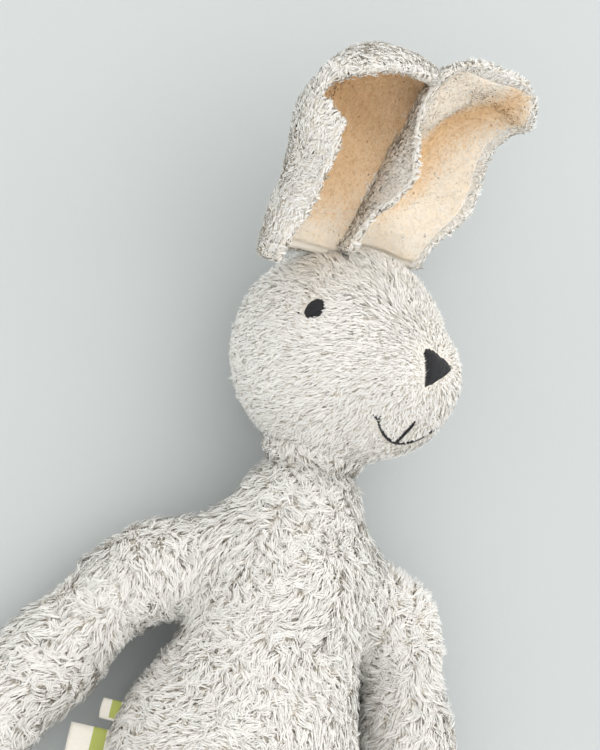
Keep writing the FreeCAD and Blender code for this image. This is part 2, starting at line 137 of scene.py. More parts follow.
class BunnyColours(bpy.types.PropertyGroup):
    tip: colour("Tips", "Pile tips", (0.975, 0.965, 0.93))
    ivory: colour("Ivory", "Pile", (0.965, 0.95, 0.91))
    warm: colour("Warm", "Pile that shows its roots", (0.95, 0.915, 0.85))
    # the roots' tone is painted shade at the foot of the pile, near the backing's own tone; the tan thread
    # takes it too
    root: colour("Roots", "Foot of the pile", (0.93, 0.86, 0.75))
    backing: colour("Backing", "Knitted backing of the plush", (0.93, 0.87, 0.77))
    lining: colour("Lining", "Velour inside the ears", (0.97, 0.94, 0.88))
    # the lining's shaded tone mottles its velour and is also painted half shade on the way into a fold; its
    # deep tone is painted shade at the bottom of a fold and at the foot of its nap
    lining_tone_and_half_shade: colour("Lining, shaded", "Velour on the way into a fold", (0.93, 0.78, 0.57))
    lining_painted_shade: colour("Lining, deep", "Velour at the bottom of a fold", (0.86, 0.60, 0.34))
    black: colour("Black thread", "Eyes and mouth", (0.012, 0.012, 0.014))
    charcoal: colour("Charcoal thread", "Nose", (0.045, 0.046, 0.05))
    tape: colour("Tape", "Label tape", (0.84, 0.80, 0.68))
    green: colour("Green", "Bars woven into the labels", (0.46, 0.50, 0.14))
    floor: colour("Floor", "What the toy lies on", (0.565, 0.597, 0.6))
    floor_light: colour("Floor, lighter", "Its paler drifts", (0.585, 0.617, 0.62))


def shape():
    return bpy.context.scene.bunny_shape


def pile():
    return bpy.context.scene.bunny_pile


def colours():
    return bpy.context.scene.bunny_colours


# ---- forms, as distance fields ----


def round_cone(a, b, ra, rb):
    """Distance to a limb between a and b, whose radius runs from ra to rb: a function of points."""
    a, b = np.asarray(a, float), np.asarray(b, float)
    along = b - a

    def field(p):
        t = np.clip((p - a) @ along / max(along @ along, 1e-12), 0, 1)
        return np.linalg.norm(p - a - t[:, None] * along, axis=1) - (ra + t * (rb - ra))

    return field


def ball(centre, radius):
    return round_cone(centre, centre, radius, radius)


def blend(soft, *fields):
    """The union of several forms, rounded where they meet."""

    def field(p):
        d = fields[0](p)
        for other in fields[1:]:
            e = other(p)
            h = np.clip(0.5 + 0.5 * (e - d) / soft, 0, 1)
            d = e * (1 - h) + d * h - soft * h * (1 - h)
        return d

    return field


def pressed(form, soft=5 * MM, rest=0.4 * MM):
    """A form that lies on the surface: flat underneath, with a rounded edge."""

    def field(p):
        d, e = form(p), rest - p[:, 2]
        h = np.clip(0.5 - 0.5 * (e - d) / soft, 0, 1)
        return e * (1 - h) + d * h + soft * h * (1 - h)

    return field


def slope(form, p, step=0.2 * MM):
    """Unit normals of a form at points."""
    g = [form(p + d) - form(p - d) for d in np.eye(3) * step]
    return unit(np.stack(g, axis=1))


def onto(form, p, way=None, steps=8):
    """Points moved onto a form's surface, along its slope or along one way."""
    for _ in range(steps):
        p = p - form(p)[:, None] * (slope(form, p) if way is None else np.asarray(way, float))
    return p


def skin(form, low, high, cell):
    """A quad mesh of a form's surface: (points, quads)."""
    low, high = np.asarray(low, float) - 2 * cell, np.asarray(high, float) + 2 * cell
    count = np.ceil((high - low) / cell).astype(int) + 1
    axes = [low[i] + cell * np.arange(count[i]) for i in range(3)]
    grid = np.stack(np.meshgrid(*axes, indexing="ij"), axis=-1)
    inside = (form(grid.reshape(-1, 3)) < 0).reshape(count)
    corner = sum(
        inside[i : count[0] - 1 + i, j : count[1] - 1 + j, k : count[2] - 1 + k].astype(int)
        for i in (0, 1)
        for j in (0, 1)
        for k in (0, 1)
    )
    crossed = (corner > 0) & (corner < 8)
    number = np.full(crossed.shape, -1)
    number[crossed] = np.arange(crossed.sum())
    points = low + cell * (np.argwhere(crossed) + 0.5)
    quads = []
    for axis in range(3):
        first, second = [a for a in range(3) if a != axis]
        here = np.moveaxis(inside, axis, 0)
        change = np.argwhere(here[:-1] != here[1:])
        full = np.zeros_like(change)
        full[:, [axis, first, second]] = change
        near = [full.copy() for _ in range(4)]
        near[1][:, first] -= 1
        near[2][:, [first, second]] -= 1
        near[3][:, second] -= 1
        quad = np.stack([number[tuple(n.T)] for n in near], axis=1)
        flip = inside[tuple(full.T)] ^ (axis == 1)
        quad[~flip] = quad[~flip][:, ::-1]
        quads.append(quad)
    quads = np.concatenate(quads)
    return onto(form, points), quads


# ---- meshes ----


def thing(name, points, faces, materials, smooth=True, kinds=None):
    """A mesh object. faces is an array of rows of one length, or a list of mixed ones."""
    mesh = bpy.data.meshes.new(name)
    faces = [np.asarray(faces)] if isinstance(faces, np.ndarray) else [np.asarray(f) for f in faces]
    faces = [f for f in faces if len(f)]
    loops = np.concatenate([f.ravel() for f in faces])
    counts = np.concatenate([np.full(len(f), f.shape[1]) for f in faces])
    mesh.vertices.add(len(points))
    mesh.vertices.foreach_set("co", np.asarray(points, np.float32).ravel())
    mesh.loops.add(len(loops))
    mesh.loops.foreach_set("vertex_index", loops.astype(np.int32))
    mesh.polygons.add(len(counts))
    mesh.polygons.foreach_set("loop_start", np.concatenate([[0], np.cumsum(counts)[:-1]]).astype(np.int32))
    for finish in materials:
        mesh.materials.append(finish)
    if kinds is not None:
        mesh.polygons.foreach_set("material_index", np.asarray(kinds, np.int32))
    mesh.update(calc_edges=True)
    mesh.polygons.foreach_set("use_smooth", np.full(len(counts), smooth))
    obj = bpy.data.objects.new(name, mesh)
    bpy.context.scene.collection.objects.link(obj)
    return obj


def face_normals(points, quads):
    corners = points[quads]
    return unit(np.cross(corners[:, 2] - corners[:, 0], corners[:, 3] - corners[:, 1]))


def point_normals(points, quads):
    total = np.zeros_like(points)
    flat = face_normals(points, quads)
    for i in range(4):
        np.add.at(total, quads[:, i], flat)
    return unit(total)


def part_of(points, quads, chosen):
    """The quads that are chosen, with only the points they use."""
    quads = quads[chosen]
    used, back = np.unique(quads.ravel(), return_inverse=True)
    return points[used], back.reshape(quads.shape)


def tube(path, radius, sides=7, taper=0.35):
    """A round thread along a path, with drawn-in ends: (points, quads, end faces)."""
    path = np.asarray(path, float)
    tangent = unit(np.gradient(path, axis=0))
    side = unit(np.cross(tangent, [0.31, 0.17, 0.94]))
    up = np.cross(side, tangent)
    t = np.linspace(0, 1, len(path))
    girth = radius * (1 - (1 - taper) * np.abs(2 * t - 1) ** 6)
    a = np.arange(sides) * 2 * math.pi / sides
    ring = side[:, None] * np.cos(a)[None, :, None] + up[:, None] * np.sin(a)[None, :, None]
    points = (path[:, None] + ring * girth[:, None, None]).reshape(-1, 3)
    return points, *ring_faces(len(path), sides)


def ring_faces(rows, columns):
    """The faces of a tube of points: the quads of its wall, and the two that close its ends."""
    i, j = np.meshgrid(np.arange(rows - 1), np.arange(columns), indexing="ij")
    k = (j + 1) % columns
    quads = np.stack([i * columns + j, (i + 1) * columns + j, (i + 1) * columns + k, i * columns + k], -1)
    first = np.arange(columns)
    return quads.reshape(-1, 4), np.stack([first, first[::-1] + (rows - 1) * columns])


def threads(name, paths, radius, finish):
    """Many threads as one piece."""
    points, quads, caps, offset = [], [], [], 0
    for path in paths:
        p, q, c = tube(path, radius)
        points.append(p)
        quads.append(q + offset)
        caps.append(c + offset)
        offset += len(p)
    faces = [np.concatenate(quads), np.concatenate(caps)]
    return thing(name, np.concatenate(points), faces, [material(finish)])


# ---- materials ----


def plain(name, rgb, sheen, rough=0.92):
    """Fibre: the same all over, because each lock has its own place and tone."""
    made = bpy.data.materials.new(name)
    made.use_nodes = True
    bsdf = made.node_tree.nodes["Principled BSDF"]
    bsdf.inputs["Base Color"].default_value = (*rgb, 1)
    bsdf.inputs["Roughness"].default_value = rough
    bsdf.inputs["Sheen Weight"].default_value = sheen
    bsdf.inputs["Sheen Roughness"].default_value = 0.45
    bsdf.inputs["Specular IOR Level"].default_value = 0.15
    return made


def noise(tree, scale, detail=3):
    node = tree.nodes.new("ShaderNodeTexNoise")
    place = tree.nodes.new("ShaderNodeTexCoord")
    tree.links.new(place.outputs["Object"], node.inputs["Vector"])
    for name, value in (("Scale", scale), ("Detail", detail), ("Roughness", 0.6)):
        node.inputs[name].default_value = value
    return node.outputs["Fac"]


def mixed(tree, share, first, second):
    """A share of the second colour in the first, which is a colour or a socket."""
    node = tree.nodes.new("ShaderNodeMix")
    node.data_type = "RGBA"
    tree.links.new(share, node.inputs[0])
    if isinstance(first, bpy.types.NodeSocket):
        tree.links.new(first, node.inputs[6])
    else:
        node.inputs[6].default_value = (*first, 1)
    node.inputs[7].default_value = (*second, 1)
    return node.outputs[2]


def mottled(name, first, second, scale, bump_scale, bump=0.3, rough=0.9, sheen=0.3):
    """Cloth whose colour drifts between two tones, with a fine relief."""
    made = plain(name, first, sheen, rough)
    tree = made.node_tree
    bsdf = tree.nodes["Principled BSDF"]
    tree.links.new(mixed(tree, noise(tree, scale), first, second), bsdf.inputs["Base Color"])
    bumps = tree.nodes.new("ShaderNodeBump")
    bumps.inputs["Strength"].default_value = bump
    bumps.inputs["Distance"].default_value = 0.4 * MM
    tree.links.new(noise(tree, bump_scale, 2), bumps.inputs["Height"])
    tree.links.new(bumps.outputs["Normal"], bsdf.inputs["Normal"])
    return made


def tinted(made, share, rgb):
    """A finish with a share of one more colour in it."""
    base = made.node_tree.nodes["Principled BSDF"].inputs["Base Color"]
    made.node_tree.links.new(mixed(made.node_tree, share, base.links[0].from_socket, rgb), base)
    return made


MADE = {}


def material(key):
    """Each finish is made once."""
    if key in MADE:
        return MADE[key]
    c = colours()
    fibres = {
        # the roots' finish is painted shade at the foot of the pile
        "pile_root_shade": (c.root, 0.15),
        "pile_warm": (c.warm, 0.15),
        "pile_ivory": (c.ivory, 0.15),
        "pile_tip": (c.tip, 0.15),
        # the velour's warm and deep finishes are painted half shade and painted shade, in the lining's folds
        # and at the foot of its nap
        "velour_nap": (c.lining, 0.5),
        "velour_half_shade": (c.lining_tone_and_half_shade, 0.4),
        "velour_painted_shade": (c.lining_painted_shade, 0.3),
    }  # each fibre's colour and sheen
    cloths = {
        "backing": lambda: mottled("knit_backing", c.backing, c.warm, 260, 1600),
        "lining": lambda: shaded_velour(c),
        "black": lambda: mottled("black_thread", c.black, c.charcoal, 2500, 5000, 0.5, 0.45, 0.1),
        "charcoal": lambda: mottled("charcoal_thread", c.charcoal, c.black, 900, 5000, 0.5, 0.5, 0.2),
        "tan_thread": lambda: mottled("tan_thread", c.root, c.warm, 900, 4000),
        "tape": lambda: woven_tape(c),
        "bedding": lambda: mottled("pale_floor", c.floor, c.floor_light, 9, 700, 0.12, 0.9, 0.1),
    }
    MADE[key] = plain(key, *fibres[key]) if key in fibres else cloths[key]()
    return MADE[key]


def shaded_velour(c):
    """Velour with painted shade: deeper in colour where it lies in a fold, as its mesh's shade says."""
    made = mottled("velour", c.lining_tone_and_half_shade, c.lining, 180, 2400, sheen=0.4)
    shade = made.node_tree.nodes.new("ShaderNodeAttribute")
    shade.attribute_name = "shade"
    return tinted(made, shade.outputs["Fac"], c.lining_painted_shade)


def woven_tape(c):
    """Cream tape with two green bars woven across it, short of its one selvage."""
    made = mottled("woven_tape", c.tape, c.warm, 700, 3000, 0.4)
    tree = made.node_tree
    place = tree.nodes.new("ShaderNodeUVMap")
    place.uv_map = "OFBake"
    split = tree.nodes.new("ShaderNodeSeparateXYZ")
    tree.links.new(place.outputs["UV"], split.inputs["Vector"])
    bars = []
    for low, high in ((0.30, 0.46), (0.58, 0.74)):
        above = math_node(tree, "GREATER_THAN", split.outputs["X"], low)
        below = math_node(tree, "LESS_THAN", split.outputs["X"], high)
        bars.append(math_node(tree, "MULTIPLY", above, below))
    within = math_node(tree, "GREATER_THAN", split.outputs["Y"], 0.12)
    return tinted(made, math_node(tree, "MULTIPLY", math_node(tree, "ADD", *bars), within), c.green)


def math_node(tree, kind, value, other):
    node = tree.nodes.new("ShaderNodeMath")
    node.operation = kind
    tree.links.new(value, node.inputs[0])
    if isinstance(other, (int, float)):
        node.inputs[1].default_value = other
    else:
        tree.links.new(other, node.inputs[1])
    return node.outputs[0]


# ---- pile ----


def waves(p, pitch, seed, count=7):
    """A smooth, swirling vector noise over points, about one unit strong."""
    rng = np.random.default_rng(seed)
    total = np.zeros((len(p), 3))
    for _ in range(count):
        way = unit(rng.normal(size=3)) * (2 * math.pi / pitch) * rng.uniform(0.6, 1.6)
        total += np.sin(p @ way + rng.uniform(0, 2 * math.pi))[:, None] * unit(rng.normal(size=3))
    return total * (1.6 / math.sqrt(count))


def scatter(points, quads, density, rng):
    """Evenly random places on a quad mesh: a function that carries any values of its points there."""
    tris = np.concatenate([quads[:, :3], quads[:, [0, 2, 3]]])
    a, b, c = (points[tris[:, i]] for i in range(3))
    area = np.linalg.norm(np.cross(b - a, c - a), axis=1) / 2
    count = min(int(area.sum() * density), MOST_LOCKS)
    face = rng.choice(len(tris), count, p=area / area.sum())
    share = rng.dirichlet((1, 1, 1), count)

    def carry(values):
        return (values[tris[face]].reshape(count, 3, -1) * share[:, :, None]).sum(1)

    return carry


def tangent(way, normals):
    return unit(way - (way * normals).sum(1)[:, None] * normals)


def locks(name, roots, normals, comb, long, look, seed, shade=0.0):
    """Pile as narrow curved locks of fibre, gathered into clumps that lean together."""
    rng = np.random.default_rng(seed)
    count = len(roots)
    long = np.broadcast_to(long, count) * rng.uniform(0.72, 1.12, count)
    comb = comb + look["spread"] * waves(roots, look["whorl"], seed + 1)
    heads = rng.choice(count, max(1, int(count / look["per_clump"])), replace=False)
    tree = KDTree(len(heads))
    for i, head in enumerate(heads):
        tree.insert(roots[head], i)
    tree.balance()
    nearest = np.array([tree.find(p)[1] for p in roots.tolist()])
    own = heads[nearest]
    comb = comb + look["swing"] * rng.normal(size=(len(heads), 3))[nearest]
    comb = tangent(comb + 0.15 * rng.normal(size=(count, 3)), normals)
    lean = np.radians(look["lean"]) + rng.normal(size=len(heads))[nearest] * 0.16
    lean = lean + rng.normal(size=count) * 0.09
    bend = np.cross(normals, comb) * (look["curl"] * rng.normal(size=len(heads))[nearest])[:, None]

    def way(share, curl):
        up, along = np.cos(lean * share)[:, None], np.sin(lean * share)[:, None]
        return unit(normals * up + comb * along + curl * bend)

    # each lock runs from its start to its tip over a knee and a shin
    start = roots - normals * 0.3 * MM
    knee = start + way(0.45, 0) * (long * 0.42)[:, None]
    shin = knee + way(1.15, 0.5) * (long * 0.33)[:, None]
    tip = shin + way(1.4, 1.3) * (long * 0.27)[:, None]
    for at, share in ((knee, 0.18), (shin, 0.6), (tip, 1.0)):
        at += (at[own] - at) * (look["pull"] * share * rng.uniform(0.7, 1.1, count))[:, None]
    side = unit(np.cross(tip - start, normals + 0.35 * rng.normal(size=(count, 3))))
    half = pile().fibre * look.get("width", 1) / 2 * rng.uniform(0.7, 1.25, count)[:, None]
    # each station with its share of the lock's width; a plain lock has no shin
    stations = [(start, 1), (knee, 1), (shin, 0.75)][: 2 if look.get("plain") else 3]
    corners = [at + to * half * wide for at, wide in stations for to in (-side, side)]
    points = np.stack([*corners, tip], axis=1)
    points[:, :, 2] = np.maximum(points[:, :, 2], 0.1 * MM)  # none reaches below the floor
    per = len(corners) + 1
    base = np.arange(count)[:, None] * per
    quads = np.concatenate([base + [i, i + 1, i + 3, i + 2] for i in range(0, per - 3, 2)])
    tone = (rng.normal(size=len(heads)) * 0.5)[nearest] + rng.normal(size=count) * 0.7
    # a foot takes the first finish, painted shade deep in the pile, unless its tone passes foot; the velour
    # nap's feet, with foot at 0, are painted shade or half shade at random
    foot = np.where(tone > look["foot"], 1, 0)
    mid = np.where(tone > 0.8, 3, np.where(tone < look["warmth"], 1, 2))
    end = np.where(tone > -0.3, 3, 2)
    finishes = [material(n) for n in look.get("finishes", PILE_FINISHES)]
    # where painted shade falls, a lock takes its first finish all through, and its second around that
    deep = rng.random(count)
    for kind in (foot, mid, end):
        kind[deep < shade * 1.6] = 1
        kind[deep < shade] = 0
    kinds = np.concatenate([foot, end] if look.get("plain") else [foot, mid, end])
    tips = base + [per - 3, per - 2, per - 1]
    made = thing(name, points.reshape(-1, 3), [quads, tips], finishes, kinds=kinds)
    look.get("slot", "plush")
    # fibres scatter light much as the cover under them does, so they mostly take its normals
    soft = unit(normals + look["glint"] * comb + 0.12 * rng.normal(size=(count, 3)))
    given = made.data.attributes.new("custom_normal", "FLOAT_VECTOR", "POINT")
    given.data.foreach_set("vector", np.repeat(soft, per, axis=0).astype(np.float32).ravel())
    return made


# a pile's glint is how far its normals follow its comb, and its lean is in degrees. It strays from its comb
# by spread over a whorl's distance in metres. Its locks lie in clumps of about per_clump, which draw
# together by pull, bend by curl and swing. foot and warmth say how seldom a foot shows the warm tone and
# how seldom a middle does
PILE_FINISHES = ("pile_root_shade", "pile_warm", "pile_ivory", "pile_tip")
HEAD_PILE = dict(
    glint=0.1, lean=73, spread=0.3, whorl=0.03, per_clump=5,
    pull=0.12, curl=0.3, swing=0.2, foot=1.8, warmth=-2.2,
)  # fmt: skip
BODY_PILE = dict(
    glint=0.1, lean=68, spread=1.0, whorl=0.05, per_clump=12,
    pull=0.3, curl=0.6, swing=0.5, foot=1.7, warmth=-2.0,
)  # fmt: skip
EAR_PILE = dict(
    glint=0.1, lean=72, spread=0.6, whorl=0.04, per_clump=8,
    pull=0.2, curl=0.5, swing=0.35, foot=1.7, warmth=-2.2,
)  # fmt: skip
UNDER = dict(
    glint=0.1, lean=62, spread=0.6, whorl=0.03, per_clump=6,
    pull=0.1, curl=0.6, swing=0.8, foot=0.9, warmth=-1.4, width=2.6, plain=True,
)  # fmt: skip
# the lining's nap: its feet, and whole locks where the lining's painted shade falls, take the painted shade
# and half shade finishes
VELOUR = dict(
    glint=0.1, lean=62, spread=0.5, whorl=0.03, per_clump=6,
    pull=0.2, curl=0.2, swing=0.3, foot=0, warmth=-2, width=0.8, plain=True,
    finishes=("velour_painted_shade", "velour_half_shade", "velour_nap", "velour_nap"), slot="velour_lining",
)  # fmt: skip
FAR_PILE = dict(BODY_PILE, plain=True)  # on the legs, and on whatever the toy lies on
MOST_LOCKS = 39000  # in one piece of pile
UNDER_LONG = 0.5  # the undercoat's length, as a share of the pile's
UNDER_MANY = 0.48  # how many locks of undercoat stand by each lock of pile


def grow(name, points, quads, normals, look, long, comb, seed, keep=None, more=1.0, shade=None):
    """Pile over a stretch of cover. long and comb are values or functions of places and normals."""
    rng = np.random.default_rng(seed)
    per = pile().density / MM**2 * more * 1
    carry = scatter(points, quads, per, rng)
    roots, around = carry(points), unit(carry(normals))
    shade = np.zeros(len(roots)) if shade is None else carry(shade)[:, 0]
    if keep is not None:
        kept = keep(roots)
        roots, around, shade = roots[kept], around[kept], shade[kept]
    long = long(roots) * np.ones(len(roots)) if callable(long) else np.full(len(roots), long)
    # pile that the toy lies on is pressed short
    long = long * np.clip((roots[:, 2] - 1 * MM) / (6 * MM), 0.12, 1)
    return locks(name, roots, around, comb(roots, around), long, look, seed, shade)


def undercoat(name, points, quads, normals, long, seed, keep=None):
    """The short dense fibres at the foot of the pile, which stand every way."""

    def short(p):
        return UNDER_LONG * (long(p) if callable(long) else long)

    comb = towards(0.2, -0.5, 0.3)
    return grow(name, points, quads, normals, UNDER, short, comb, seed, keep, more=UNDER_MANY)


def towards(*way):
    """A comb the same way everywhere."""
    return lambda p, n: np.tile(np.asarray(way, float), (len(p), 1))


# ---- body ----


def body_form():
    """Torso, yoke, shoulders and thighs as one rounded form that lies on its back."""
    s = shape()
    chest = np.array([0, pivot("shoulder_left_lift")[1] - 5 * MM, BODY_Z])
    collar = NECK - [0, 21 * MM, 0]
    trunk = [
        round_cone(BELLY, chest, BELLY_R - s.pile_room, s.chest_r),
        round_cone(chest, collar, s.chest_r, 22 * MM),
        # the stuffing has settled a little to the right
        ball(BELLY + np.array([-7, -6, -4]) * MM, BELLY_R - s.pile_room + 1.5 * MM),
    ]
    halves = []
    for side in SIDES:
        shoulder, arm = pivot(f"shoulder_{side}_lift"), pivot(f"arm_{side}_spread")
        hip, leg = pivot(f"hip_{side}_flex"), pivot(f"leg_{side}_splay")
        limbs = [
            round_cone(collar - [0, 6 * MM, 0], shoulder - [0, 8 * MM, 0], s.yoke_r, 13.5 * MM),
            round_cone(shoulder - [0, 8 * MM, 0], arm, 13.5 * MM, 15 * MM),
            round_cone(hip + [0, 12 * MM, 4 * MM], leg, 18.5 * MM, 17 * MM),
        ]
        halves.append(blend(s.blend, *trunk, *limbs))
    return pressed(lambda p: np.minimum(halves[0](p), halves[1](p)))


def bends():
    """Where the body's cover is parted for each limb: the limb's body, and the start and end of its stretch.
    """
    found = {}
    for side, sign in SIDES.items():
        shoulder, hip = pivot(f"shoulder_{side}_lift"), pivot(f"hip_{side}_flex")
        found[f"shoulder_{side}"] = (shoulder - [sign * 10 * MM, 0, 0], shoulder + [sign * 9 * MM, 0, 0])
        found[f"thigh_{side}"] = (hip + [0, 16 * MM, 0], hip - [0, 7 * MM, 0])
    return found


def sewn(
    name, body, points, quads, nodes, seed, look, long, comb,
    bend=None, cuts=None, keep=None, more=1.0,
):  # fmt: skip
    """A stuffed cover and the pile on it, riding on a body, or, where a bend is given, fixed where it lies.
    """
    normals = point_normals(points, quads)
    cover = thing(f"{name}_skin", points, quads, [material("backing")])
    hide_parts(*nodes)
    stretches = {"": np.ones(len(quads), bool)} if cuts is None else cuts(points[quads].mean(1))
    made = [cover]
    for number, (label, chosen) in enumerate(stretches.items()):
        kind, part = FAR_PILE if label in ("_back", "_under") else look, quads[chosen]
        start = seed + number
        made.append(grow(f"{name}_pile{label}", points, part, normals, kind, long, comb, start, keep, more))
        made.append(undercoat(f"{name}_under{label}", points, part, normals, long, start + 50, keep))
    for piece in made:
        if bend is None:
            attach(piece, body)
        else:
            [tuple(place) for place in bend]
            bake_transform(piece)


class BUNNY_OT_body(bpy.types.Operator):
    """Sew the torso, with the shoulders and thighs that its cover runs into"""

    bl_idname = "bunny.body"
    bl_label = "Body"

    def execute(self, context):
        thigh_end = pivot("leg_left_splay")[1] - 22 * MM
        low = np.array([-90 * MM, thigh_end, 0])
        high = np.array([90 * MM, NECK[1] + 6 * MM, BODY_Z + BELLY_R + 4 * MM])
        points, quads = skin(body_form(), low, high, shape().weave)
        middles = points[quads].mean(1)
        owner = np.full(len(quads), "torso", dtype="U20")
        for name, (start, end) in bends().items():
            past = ((points - start) @ (end - start) > 0)[quads].any(1)
            same_side = (middles[:, 0] > 0) == name.endswith("left")
            above_belly = (middles[:, 1] > pivot("arm_left_spread")[1] - 20 * MM) | name.startswith("thigh")
            owner[past & same_side & above_belly] = name

        def long(p):
            # the belly's nap is shorter than the chest's pile
            nap = np.clip((BELLY[1] + 42 * MM - p[:, 1]) / (35 * MM), 0, 1) * (p[:, 2] > BODY_Z / 2)
            nap = nap * (np.abs(p[:, 0]) < BELLY_R)
            return pile().body_long + (pile().belly_long - pile().body_long) * nap

        def torso_cuts(c):
            front, chest = c[:, 2] > BODY_Z * 0.75, c[:, 1] > BELLY[1] + 34 * MM
            return {"_chest": front & chest, "_belly": front & ~chest, "_back": ~front}

        for number, name in enumerate(("torso", *bends())):
            part, faces = part_of(points, quads, owner == name)
            if name == "torso":
                nodes = ("torso_front_cover", "torso_back_cover", "torso_stuffing")
            else:
                nodes = (f"{name}_cover", f"{name}_stuffing")
            sewn(
                name, name, part, faces, nodes, 100 + 5 * number,
                FAR_PILE if name.startswith("thigh") else BODY_PILE, long, towards(0, -1, -0.15),
                bend=bends().get(name), cuts=torso_cuts if name == "torso" else None,
            )  # fmt: skip
        return {"FINISHED"}


def limb(name, parts, root, end, seed, rest, look):
    """An arm or a leg, from its rounded forms. Its pile is combed to its end, and down by rest."""
    low = np.minimum(box(f"{name}_front_cover")[0], box(f"{name}_back_cover")[0]) - 4 * MM
    high = box(f"{name}_front_cover")[1] + 4 * MM
    points, quads = skin(pressed(blend(10 * MM, *parts)), low, high, shape().weave)
    nodes = [f"{name}_{n}" for n in ("front_cover", "back_cover", "stuffing")]
    way = unit(end - root) + [0, 0, rest]
    upper = root[2] * 0.7
    sewn(
        name, name, points, quads, nodes, seed, look, pile().body_long, towards(*way),
        cuts=lambda c: {"_top": c[:, 2] > upper, "_under": c[:, 2] <= upper},
    )  # fmt: skip


class BUNNY_OT_arms(bpy.types.Operator):
    """Sew the two arms"""

    bl_idname = "bunny.arms"
    bl_label = "Arms"

    def execute(self, context):
        for number, side in enumerate(SIDES):
            root = pivot(f"arm_{side}_spread")
            way = unit(root - pivot(f"shoulder_{side}_lift"))
            bulge, hand = root + way * 36 * MM, root + way * 92 * MM
            parts = [
                round_cone(root, bulge, 14 * MM, 15.5 * MM),
                round_cone(bulge, hand, 15.5 * MM, 16.5 * MM),
            ]
            limb(f"arm_{side}", parts, root, hand, 200 + 10 * number, -0.25, BODY_PILE)
        return {"FINISHED"}


class BUNNY_OT_legs(bpy.types.Operator):
    """Sew the two legs, with their turned-up feet"""

    bl_idname = "bunny.legs"
    bl_label = "Legs"

    def execute(self, context):
        for number, side in enumerate(SIDES):
            root = pivot(f"leg_{side}_splay")
            way = unit(root - pivot(f"hip_{side}_flex"))
            calf, heel = root + way * 40 * MM, root + way * 92 * MM
            toe = np.array([heel[0], heel[1], box(f"leg_{side}_front_cover")[1][2] - 15 * MM])
            parts = [
                round_cone(root, calf, 15.5 * MM, 17 * MM),
                round_cone(calf, heel, 17 * MM, 17 * MM),
                round_cone(heel, toe, 16.5 * MM, 12 * MM),
            ]
            limb(f"leg_{side}", parts, root, heel, 300 + 10 * number, -0.2, FAR_PILE)
        return {"FINISHED"}


class BUNNY_OT_tail(bpy.types.Operator):
    """Tie the round tail"""

    bl_idname = "bunny.tail"
    bl_label = "Tail"

    def execute(self, context):
        low, high = box("tail")
        centre = (low + high) / 2
        points, quads = skin(pressed(ball(centre, (high[0] - low[0]) / 2)), low, high, shape().weave * 0.8)
        sewn(
            "tail", "torso", points, quads, ["tail"], 400, FAR_PILE, pile().body_long,
            lambda p, n: unit(p - centre) + [0, -0.6, 0],
        )  # fmt: skip
        return {"FINISHED"}


# ---- head ----


def on_head(left, up, forward):
    """A place in the head's own directions, in mm from the skull's centre."""
    return SKULL + MM * (left * LEFT + up * UP + forward * FORWARD)


def head_form():
    """The skull, the muzzle and two cheeks, which lie flat behind."""
    parts = [ball(SKULL, 41.5 * MM), round_cone(on_head(0, 0, 8), on_head(0, -4.5, 34), 33 * MM, 23 * MM)]
    for sign in (-1, 1):
        parts.append(round_cone(on_head(6 * sign, -14, 14), on_head(4 * sign, -14, 26), 22 * MM, 19 * MM))
    return pressed(blend(9 * MM, *parts))


class Patch:
    """A flat working plane laid on the head: first runs along `first`, second across it."""

    def __init__(self, form, at, first):
        self.form = form
        self.at = onto(form, np.array([at], float))
        self.out = slope(form, self.at)[0]
        self.at = self.at[0]
        self.first = tangent(np.array([first]), self.out[None])[0]
        self.second = np.cross(self.out, self.first)

    def place(self, xy, rise):
        """Points (mm) of the plane, dropped onto the head and raised off it by rise (mm)."""
        xy = np.atleast_2d(np.asarray(xy, float)) * MM
        p = self.at + xy[:, :1] * self.first + xy[:, 1:] * self.second
        p = onto(self.form, p, self.out, 14)
        return p + self.out * (np.asarray(rise, float) * MM).reshape(-1, 1)

    def flat(self, p):
        """Points seen on the plane, in mm."""
        q = (p - self.at) / MM
        return np.stack([q @ self.first, q @ self.second], axis=1), q @ self.out


def row_ends(rows, across):
    """Where the stitches at places across a satin patch start and end."""
    places, low, high = np.array(rows, float).T
    return np.interp(across, places, low), np.interp(across, places, high)


def satin(name, patch, rows, pitch, thread, dome, finish, node, seed):
    """Satin stitches side by side in mm: pitch apart, of a thread's radius, heaped up by dome."""
    rng = np.random.default_rng(seed)
    paths = []
    across = np.arange(rows[0][0], rows[-1][0] + pitch / 2, pitch)
    low, high = row_ends(rows, across)
    span = (rows[-1][0] - rows[0][0]) / 2
    middle_row = (rows[-1][0] + rows[0][0]) / 2
    for y, start, end in zip(across, low, high):
        if end - start < 0.6:
            continue
        start, end = start + rng.normal() * 0.18, end + rng.normal() * 0.18
        t = np.linspace(0, 1, 9)
        x = start + (end - start) * t
        sway = rng.normal() * 0.1 * np.sin(math.pi * t)
        arch = 1 - np.abs(2 * t - 1) ** 3.5
        crown = 0.5 + 0.5 * (1 - ((y - middle_row) / span) ** 2)
        rise = -0.5 + (0.5 + dome * crown) * arch
        paths.append(patch.place(np.stack([x, y + sway], axis=1), rise))
    made = threads(name, paths, thread * MM, finish)
    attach(made, "head")
    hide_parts(node)


def eye_patch(form, side):
    at = middle(f"eye_{side}") + 2.6 * MM * UP
    # the eye slants up towards the nose
    out = slope(form, at[None])[0]
    to_nose = tangent(FORWARD[None], out[None])[0]
    rise = tangent(UP[None], out[None])[0]
    return Patch(form, at, to_nose * 0.73 + rise * 0.68)


